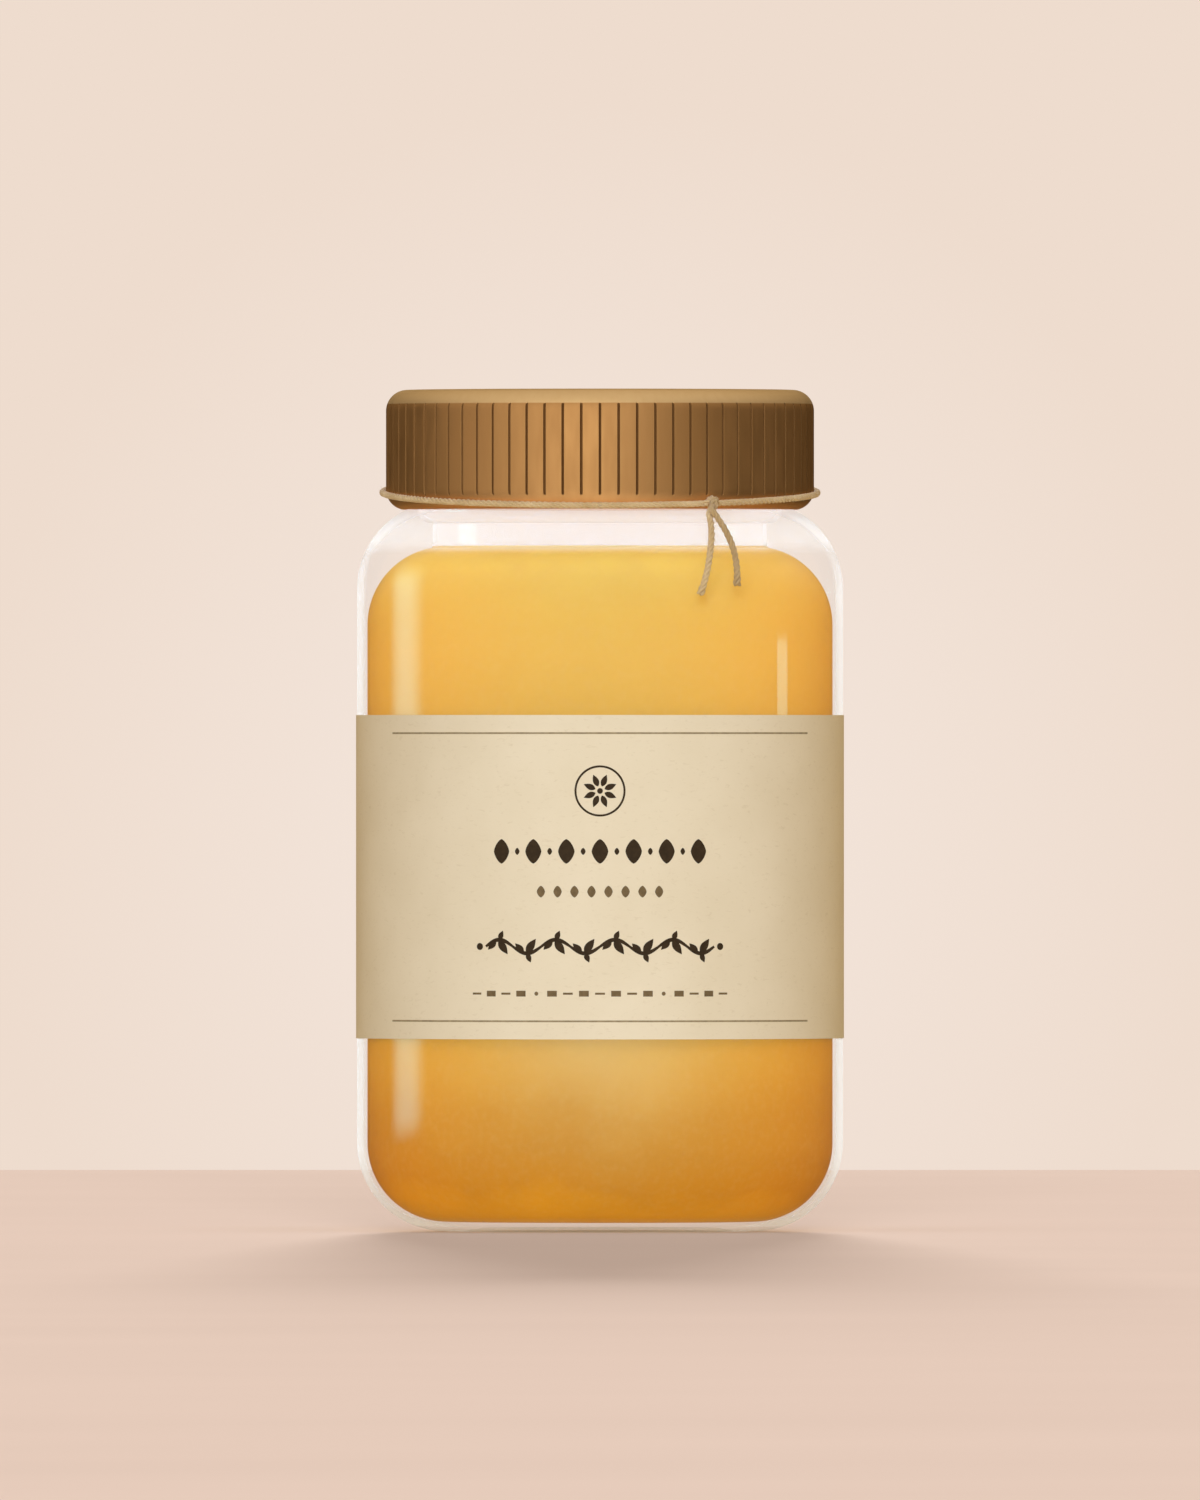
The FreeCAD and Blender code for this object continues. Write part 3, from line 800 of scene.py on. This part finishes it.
# a leafy scroll
stem, widths = [], []
for i in range(161):
    u = -17.4 + 34.8 * i / 160
    stem.append((u, 42.0 + 1.0 * math.sin(u * math.pi / 4.35)))
    widths.append(0.36 + 0.24 * abs(math.sin(u * math.pi / 4.35)))
dark.strip(stem, widths)
for k in range(-4, 4):
    u = (k + 0.5) * 4.35
    rise = 1 if k % 2 == 0 else -1
    at = 42.0 + 1.0 * rise
    dark.leaf(u - 0.1, at - 0.1 * rise, 2.5, 1.15, -rise * 0.95)
    dark.leaf(u - 0.5, at - 0.1 * rise, 1.9, 0.95, math.pi + rise * 0.80)
    dark.leaf(u, at, 1.45, 0.8, rise * 1.15)
for side in (-1, 1):
    dark.blob(side * 18.4, 42.0, 0.52, 0.52)
dark.build("label_ornament", ink_dark)

soft = Print()
for k in range(-4, 4):
    soft.blob((k + 0.5) * 2.5, 50.05, 0.62, 0.86, 20, 0.0, 1.3)
for k in range(-8, 9):
    if k in (-4, 4):
        soft.blob(k * 2.36, 35.1, 0.30, 0.30, 14)
    else:
        soft.bar(k * 2.36 - 0.72, k * 2.36 + 0.72, 35.1, 0.85 if k % 2 else 0.30)
soft.build("label_dots", ink_soft)


# ============================================================ twine
def beside_lid(z, gap=0.06):
    clear = LID_ROUND_LOW + TWINE_R + gap
    if z >= low_cz:
        return low_cx + clear
    return low_cx + math.sqrt(clear**2 - (low_cz - z) ** 2)


def on_shoulder(x, z, lift):
    clear = SHOULDER_R + TWINE_R + lift
    r = BODY_R + TWINE_R + lift
    if z > SHOULDER_Z:
        r = SHOULDER_CX + math.sqrt(clear**2 - (z - SHOULDER_Z) ** 2)
    return np.array([x, -math.sqrt(r * r - x * x), z])


def loop_at(a):
    """The loop's centreline in mm; a = 0 is the front, and it grows to the right."""
    z = (LOOP_FRONT_Z + LOOP_BACK_Z) / 2 - (LOOP_BACK_Z - LOOP_FRONT_Z) / 2 * math.cos(a)
    # a hand-tied twine isn't quite even
    z += 0.10 * math.sin(3 * a + 0.8) * (1 - math.cos(a)) / 2
    r = beside_lid(z)
    return np.array([r * math.sin(a), -r * math.cos(a), z])


def through_points(points, per=14):
    """A smooth line through these points (Catmull-Rom)."""
    p = [np.array(q, float) for q in points]
    p = [2 * p[0] - p[1]] + p + [2 * p[-1] - p[-2]]
    out = []
    for i in range(1, len(p) - 2):
        for k in range(per):
            f = k / per
            out.append(
                0.5
                * (
                    2 * p[i]
                    + (p[i + 1] - p[i - 1]) * f
                    + (2 * p[i - 1] - 5 * p[i] + 4 * p[i + 1] - p[i + 2]) * f**2
                    + (3 * p[i] - p[i - 1] - 3 * p[i + 1] + p[i + 2]) * f**3
                )
            )
    out.append(p[-2])
    return np.array(out)


def resample(path, gap, closed=False):
    path = np.array(path)
    if closed:
        path = np.vstack([path, path[:1]])
    seg = np.linalg.norm(np.diff(path, axis=0), axis=1)
    s = np.concatenate([[0], np.cumsum(seg)])
    n = max(2, int(round(s[-1] / gap)))
    at = np.linspace(0, s[-1], n + 1)
    if closed:
        at = at[:-1]
    return np.stack([np.interp(at, s, path[:, k]) for k in range(3)], axis=1), s[-1]


def frames_along(path, closed):
    """Tangent and two cross directions at each point, with no sudden turn."""
    n = len(path)
    if closed:
        tangent = np.roll(path, -1, 0) - np.roll(path, 1, 0)
    else:
        tangent = np.gradient(path, axis=0)
    tangent /= np.linalg.norm(tangent, axis=1)[:, None]
    u = np.zeros_like(path)
    ref = np.array([0.0, 0.0, 1.0])
    if abs(tangent[0] @ ref) > 0.9:
        ref = np.array([1.0, 0.0, 0.0])
    u[0] = ref - tangent[0] * (ref @ tangent[0])
    u[0] /= np.linalg.norm(u[0])
    for i in range(1, n):
        v = u[i - 1] - tangent[i] * (u[i - 1] @ tangent[i])
        u[i] = v / np.linalg.norm(v)
    w = np.cross(tangent, u)
    return tangent, u, w


class Tubes:
    def __init__(self):
        self.verts, self.faces = [], []
        self.tone, self.tones = 0.0, []

    def tube(self, path, radii, sides=8, closed=False):
        _, u, w = frames_along(path, closed)
        n = len(path)
        base = len(self.verts)
        for i in range(n):
            for k in range(sides):
                a = 2 * math.pi * k / sides
                self.verts.append(
                    (path[i] + radii[i] * (math.cos(a) * u[i] + math.sin(a) * w[i])) * MM
                )
        last = n if closed else n - 1
        for i in range(last):
            j = (i + 1) % n
            for k in range(sides):
                l = (k + 1) % sides
                self.faces.append(
                    (base + i * sides + k, base + i * sides + l, base + j * sides + l, base + j * sides + k)
                )
        self.tones += [self.tone] * (len(self.verts) - base)
        if not closed:
            self.tones += [self.tone] * 2
            for i, flip in ((0, True), (n - 1, False)):
                centre = len(self.verts)
                self.verts.append(path[i] * MM)
                for k in range(sides):
                    l = (k + 1) % sides
                    a, b = base + i * sides + k, base + i * sides + l
                    self.faces.append((centre, b, a) if flip else (centre, a, b))


PLY, PITCH = 3, 2.7
STRAND = TWINE_R * 0.56
OFFSET = TWINE_R * 0.54


def lay_twine(tubes, path, closed, length, fray=False, seed=0):
    """Three plies twisted round a centreline, each a little uneven."""
    rnd = random.Random(seed)
    _, u, w = frames_along(path, closed)
    n = len(path)
    turns = length / PITCH
    if closed:
        turns = round(turns)
    for ply in range(PLY):
        phase = 2 * math.pi * ply / PLY
        strand = np.zeros_like(path)
        radii = np.zeros(n)
        wob = [rnd.uniform(0, 6.28) for _ in range(4)]
        for i in range(n):
            f = i / n if closed else i / (n - 1)
            a = phase + 2 * math.pi * turns * f
            out = OFFSET
            if fray and f > 0.90:
                out *= 1.0 + 5.0 * (f - 0.90)
            strand[i] = path[i] + out * (math.cos(a) * u[i] + math.sin(a) * w[i])
            s = f * length
            radii[i] = STRAND * (
                1.0
                + 0.05 * math.sin(2 * math.pi * round(length / 5.3) * f + wob[0])
                + 0.04 * math.sin(2 * math.pi * round(length / 2.1) * f + wob[1])
            )
        tubes.tube(strand, radii, 8, closed)
    return tubes


twine = Tubes()
loop, loop_len = resample([loop_at(2 * math.pi * i / 720) for i in range(720)], 0.22, True)
# keep the closed loop's frame from turning: its cross directions start upright
lay_twine(twine, loop, True, loop_len, seed=1)

# the knot at the front right, then the two tails over the shoulder
a_knot = math.asin(15.95 / 31.0)
K = loop_at(a_knot)
T = loop_at(a_knot + 0.01) - K
T /= np.linalg.norm(T)
N = np.array([K[0], K[1], 0.0])
N /= np.linalg.norm(N)
U = np.cross(N, T)
if U[2] < 0:
    U = -U


def local(t_, n_, u_):
    return K + T * t_ + N * n_ + U * u_


def px(x, y, lift):
    """A tail's point from its place in the front view, laid over the shoulder."""
    k = 0.14717
    return on_shoulder((x - 600) * k, (1231 - y) * k, lift)


tail_a = [
    local(-0.95, 0.10, -0.05),
    local(-0.62, 0.52, 0.28),
    local(-0.20, 0.80, 0.30),
    local(0.05, 0.86, -0.10),
    px(709.0, 514.5, 1.75),
    px(710.4, 524.0, 1.20),
    px(711.0, 538.0, 0.55),
    px(710.0, 551.0, 0.20),
    px(708.4, 563.0, 0.06),
    px(704.8, 579.5, 0.03),
    px(700.0, 594.8, 0.03),
]
tail_b = [
    local(0.95, 0.10, -0.05),
    local(0.62, 0.75, 0.36),
    local(0.10, 1.35, 0.52),
    local(-0.38, 1.45, 0.18),
    local(-0.30, 1.40, -0.30),
    px(711.4, 511.0, 2.60),
    px(716.0, 517.0, 2.05),
    px(724.2, 529.8, 1.15),
    px(731.2, 544.7, 0.45),
    px(735.0, 558.8, 0.12),
    px(736.6, 572.9, 0.03),
    px(736.6, 585.8, 0.03),
]
for k, points in enumerate((tail_a, tail_b)):
    path, length = resample(through_points(points), 0.14)
    # the second end hangs over the first, and is painted darker: painted shade on it
    twine.tone = float(k)
    lay_twine(twine, path, False, length, fray=True, seed=10 + k)
# the turn round the crossing is painted a little darker
twine.tone = 0.35
# one turn of the twine round the crossing
wrap = []
for i in range(40):
    a = math.radians(-60 + 330 * i / 39)
    wrap.append(
        local(0.05 + 0.30 * (i / 39 - 0.5), 0.62 + 0.78 * math.sin(a), 0.02 + 0.72 * math.cos(a))
    )
path, length = resample(wrap, 0.12)
lay_twine(twine, path, False, length, seed=20)

twine_obj = make_object("twine_plies", twine.verts, twine.faces)
tone = twine_obj.data.attributes.new("tone", "FLOAT", "POINT")
tone.data.foreach_set("value", np.array(twine.tones, np.float32))
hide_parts("twine")

# stray fibres
hairs = Tubes()
rnd = random.Random(5)
sources = [loop] * 5 + [resample(through_points(p), 0.2)[0][8:] for p in (tail_a, tail_b)]
for k in range(170):
    src = sources[rnd.randrange(len(sources))]
    i = rnd.randrange(2, len(src) - 2)
    at = src[i]
    along = src[i + 1] - src[i - 1]
    along /= np.linalg.norm(along)
    out = np.array([at[0], at[1], 0.0])
    out /= np.linalg.norm(out)
    side = np.cross(along, out)
    a = rnd.uniform(-1.5, 1.5)
    away = math.cos(a) * out + math.sin(a) * side
    length = rnd.uniform(0.35, 0.95)
    bend = rnd.uniform(-0.5, 0.5)
    path = []
    for s in range(5):
        f = s / 4
        path.append(
            at
            + away * (TWINE_R * 0.8 + length * 0.55 * f)
            + along * length * (0.7 * f + bend * f * f)
            + side * bend * 0.3 * f * f
        )
    hairs.tube(np.array(path), [0.022 * (1 - 0.6 * s / 4) for s in range(5)], 4)
fuzz = make_object("twine_fibres", hairs.verts, hairs.faces)

mat_twine, t, out = material("twine_fibre")
coords = object_coords(t)
strands = noise(t, coords, 5200.0, 3.0, 0.6, 1.2)
patch = noise(t, coords, 260.0, 2.0, 0.5)
twine_colour = ramp(
    t,
    patch,
    [(0.30, (0.640, 0.430, 0.200, 1)), (0.72, (0.800, 0.580, 0.310, 1))],
)
# tone darkens the twine's colour: painted shade on the second end, and a little darkening on the turn round
# the crossing
shade_tone = node(t, "ShaderNodeAttribute", attribute_name="tone").outputs["Fac"]
twine_colour = mix(t, maths(t, "MULTIPLY", shade_tone, 0.46), twine_colour, (0.36, 0.215, 0.080, 1))
shade = ramp(t, strands, [(0.32, grey(0.34)), (0.58, grey(0.0))])
twine_colour = mix(t, shade, twine_colour, (0.27, 0.155, 0.060, 1))
fibre = node(t, "ShaderNodeBsdfPrincipled")
link(t, twine_colour, fibre.inputs["Base Color"])
fibre.inputs["Roughness"].default_value = 0.9
fibre.inputs["Specular IOR Level"].default_value = 0.2
fibre.inputs["Sheen Weight"].default_value = 0.25
fibre.inputs["Sheen Roughness"].default_value = 0.5
link(t, bump(t, strands, 0.45, 0.0002), fibre.inputs["Normal"])
link(t, fibre.outputs[0], out.inputs["Surface"])
give(twine_obj, mat_twine)
give(fuzz, mat_twine)

# ============================================================ floor
# It ends behind the jar, where the pale wall of the surroundings takes over.
floor_verts, floor_faces = [], []
HORIZON_Z = 0.00898
BACK, FRONT_Y, SIDE = DISTANCE * HORIZON_Z / (EYE_Z - HORIZON_Z), -4.5, 2.2
xs = np.linspace(-SIDE, SIDE, 9)
ys = np.linspace(FRONT_Y, BACK, 9)
for y in ys:
    for x in xs:
        floor_verts.append((x, y, 0.0))
for j in range(8):
    for i in range(8):
        a = j * 9 + i
        floor_faces.append((a, a + 1, a + 10, a + 9))
floor = make_object("floor", floor_verts, floor_faces)
mat_floor, t, out = material("floor_matt")
coords = object_coords(t)
speck = noise(t, coords, 6.0, 2.0)
floor_colour = ramp(
    t, speck, [(0.3, (0.770, 0.585, 0.487, 1)), (0.7, (0.790, 0.602, 0.502, 1))]
)
matt = node(t, "ShaderNodeBsdfPrincipled")
link(t, floor_colour, matt.inputs["Base Color"])
matt.inputs["Roughness"].default_value = 0.95
matt.inputs["Specular IOR Level"].default_value = 0.0
link(t, matt.outputs[0], out.inputs["Surface"])
floor.data.materials.append(mat_floor)
floor.visible_diffuse = False
floor.visible_glossy = False

# ============================================================ light
world = bpy.data.worlds.new("world")
scene.world = world
world.use_nodes = True
t = world.node_tree
for n in list(t.nodes):
    t.nodes.remove(n)
out = t.nodes.new("ShaderNodeOutputWorld")
way = t.nodes.new("ShaderNodeTexCoord").outputs["Generated"]
parts = node(t, "ShaderNodeSeparateXYZ")
link(t, way, parts.inputs[0])
wide = maths(t, "DIVIDE", parts.outputs["X"], 0.0125)
tall = maths(t, "DIVIDE", maths(t, "ADD", parts.outputs["Z"], 0.001), 0.0140)
behind = maths(t, "GREATER_THAN", parts.outputs["Y"], 0.0)
spread = maths(
    t, "SQRT", maths(t, "ADD", maths(t, "MULTIPLY", wide, wide), maths(t, "MULTIPLY", tall, tall))
)
wall = ramp(
    t,
    spread,
    [(0.0, srgb(243, 229, 218)), (0.35, srgb(242, 227, 216)), (1.0, srgb(238, 220, 206))],
)
wall = mix(t, behind, srgb(238, 220, 206), wall)
seen = node(t, "ShaderNodeBackground")
link(t, wall, seen.inputs["Color"])
seen.inputs["Strength"].default_value = 1.0
given = node(t, "ShaderNodeBackground")
given.inputs["Color"].default_value = (0.44, 0.335, 0.175, 1.0)
given.inputs["Strength"].default_value = 1.0
# what shines back off metal and glass: dim level with the eye, bright overhead
sky = ramp(
    t,
    maths(t, "MULTIPLY_ADD", parts.outputs["Z"], 0.5),
    [
        (0.0, (0.05, 0.038, 0.030, 1)),
        (0.57, (0.055, 0.043, 0.034, 1)),
        (0.70, (0.46, 0.43, 0.39, 1)),
        (0.86, (0.80, 0.76, 0.70, 1)),
        (1.0, (0.80, 0.76, 0.70, 1)),
    ],
)
for n in t.nodes:
    if n.type == "MATH" and n.operation == "MULTIPLY_ADD":
        n.inputs[2].default_value = 0.5
shine = node(t, "ShaderNodeBackground")
link(t, sky, shine.inputs["Color"])
rays = t.nodes.new("ShaderNodeLightPath")
other = node(t, "ShaderNodeMixShader")
link(t, rays.outputs["Is Glossy Ray"], other.inputs[0])
link(t, given.outputs[0], other.inputs[1])
link(t, shine.outputs[0], other.inputs[2])
pick = node(t, "ShaderNodeMixShader")
link(t, rays.outputs["Is Camera Ray"], pick.inputs[0])
link(t, other.outputs[0], pick.inputs[1])
link(t, seen.outputs[0], pick.inputs[2])
link(t, pick.outputs[0], out.inputs["Surface"])


def toward(az, el):
    """The direction of a light seen from the jar: azimuth 0 is the camera's side, 90 the right."""
    a, e = math.radians(az), math.radians(el)
    return Vector((math.sin(a) * math.cos(e), -math.cos(a) * math.cos(e), math.sin(e)))


def only(name, objs):
    c = bpy.data.collections.new(name)
    for o in objs:
        c.objects.link(o)
    return c


def sun(name, az, el, strength, angle, colour=(1, 1, 1), glossy=True, onto=None, past=None):
    data = bpy.data.lights.new(name, "SUN")
    data.energy = strength
    data.angle = math.radians(angle)
    data.color = colour
    o = bpy.data.objects.new(name, data)
    scene.collection.objects.link(o)
    o.rotation_mode = "QUATERNION"
    o.rotation_quaternion = toward(az, el).to_track_quat("Z", "Y")
    o.visible_glossy = glossy
    if onto is not None:
        o.light_linking.receiver_collection = only(name + "_onto", onto)
    if past is not None:
        # only these pieces cast a shadow in this light
        o.light_linking.blocker_collection = only(name + "_by", past)
    return o


jar = [glass, honey, label, twine_obj, fuzz] + [
    o for o in scene.objects if o.name.startswith("label_") and o is not label
]
# a cool soft light from the front, and a weaker one thrown up by the table; the
# surroundings are warmer, so the jar's sides turn browner than its front
casters = [glass, honey, twine_obj]
sun("key", -5, 20, 1.91, 34, (0.448, 0.648, 1.0), glossy=False, onto=jar, past=casters)
sun("bounce", 0, -50, 0.90, 60, (1.0, 0.95, 0.70), glossy=False, onto=jar, past=casters)
sun("above", 0, 56, 0.70, 60, (0.95, 0.98, 1.0), glossy=False, onto=jar, past=[honey, label, twine_obj])
sun("behind", 176, 24, 1.10, 50, (0.80, 0.86, 1.0), glossy=False, onto=jar[1:], past=casters)
# light carried round inside the honey to its sides
sun("through_left", -104, 3, 1.55, 40, (1.0, 0.52, 0.02), glossy=False, onto=[honey])
sun("through_right", 103, 3, 1.60, 40, (1.0, 0.50, 0.02), glossy=False, onto=[honey])
# the lid's own soft highlight, left of its middle
sun("lid_key", -12, 3, 1.42, 56, (1.0, 1.0, 0.97), onto=[lid])
sun("lid_low", -10, -50, 1.64, 66, (1.0, 0.98, 0.93), onto=[lid], past=[label])
sun("lid_left", -66, 3, 0.33, 56, (1.0, 0.90, 0.80), onto=[lid])
sun("lid_right", 44, 3, 0.12, 34, (1.0, 0.90, 0.74), onto=[lid])
# rim lights that only the glass takes
sun("rim_left", -122, 10, 3.8, 60, (0.75, 0.86, 1.0), glossy=False, onto=[glass], past=[honey, label])
sun("rim_right", 122, 10, 3.8, 60, (0.75, 0.86, 1.0), glossy=False, onto=[glass], past=[honey, label])
sun("neck", 0, 2, 1.50, 60, (0.97, 0.90, 1.0), glossy=False, onto=[glass], past=[honey, label])
# the floor's light: most from above, and two low soft lights that draw the
# jar's shadow out before and behind it
sun("floor_above", 0, 80, 0.80, 50, (0.22, 0.50, 1.0), glossy=False, onto=[floor])
sun("floor_back", 180, 7.7, 9.9, 7.5, (0.90, 0.96, 1.0), glossy=False, onto=[floor])
sun("floor_front", 0, 8.0, 3.4, 9.0, (0.90, 0.96, 1.0), glossy=False, onto=[floor])


def card(name, az, distance, wide, low, high, strength, soft_across, soft_low, soft_high):
    """A tall lit card that only reflections see: the streaks on the glass."""
    d = toward(az, 0)
    across = Vector((-d.y, d.x, 0.0))
    verts, faces = [], []
    n, m = 16, 72
    for j in range(m + 1):
        for i in range(n + 1):
            p = d * distance + across * (wide * (i / n - 0.5))
            verts.append((p.x, p.y, low + (high - low) * j / m))
    for j in range(m):
        for i in range(n):
            a = j * (n + 1) + i
            faces.append((a, a + 1, a + n + 2, a + n + 1))
    o = make_object(name, verts, faces)
    level = o.data.attributes.new("level", "FLOAT", "POINT")
    value = []
    for j in range(m + 1):
        for i in range(n + 1):
            fx = min(i, n - i) / n * wide
            up = j / m * (high - low)
            gx = min(1.0, fx / soft_across)
            gz = min(1.0, up / soft_low, (high - low - up) / soft_high)
            value.append((gx * gx * (3 - 2 * gx)) * (gz * gz * (3 - 2 * gz)))
    level.data.foreach_set("value", value)
    mat, t, out = material(name + "_light")
    e = node(t, "ShaderNodeEmission")
    e.inputs["Color"].default_value = (0.36, 1.08, 1.04, 1.0)
    fac = node(t, "ShaderNodeAttribute", attribute_name="level").outputs["Fac"]
    link(t, maths(t, "MULTIPLY", fac, strength), e.inputs["Strength"])
    link(t, e.outputs[0], out.inputs["Surface"])
    o.data.materials.append(mat)
    o.visible_camera = False
    o.visible_diffuse = False
    o.visible_transmission = False
    o.visible_volume_scatter = False
    o.visible_shadow = False
    o.light_linking.receiver_collection = only(name + "_onto", [glass])
    return o


card("card_left", -102.5, 0.5, 0.262, 0.0020, 0.3000, 9.3, 0.108, 0.009, 0.190)
card("card_right", 94.2, 0.5, 0.066, 0.0600, 0.0902, 8.0, 0.006, 0.0015, 0.0015)
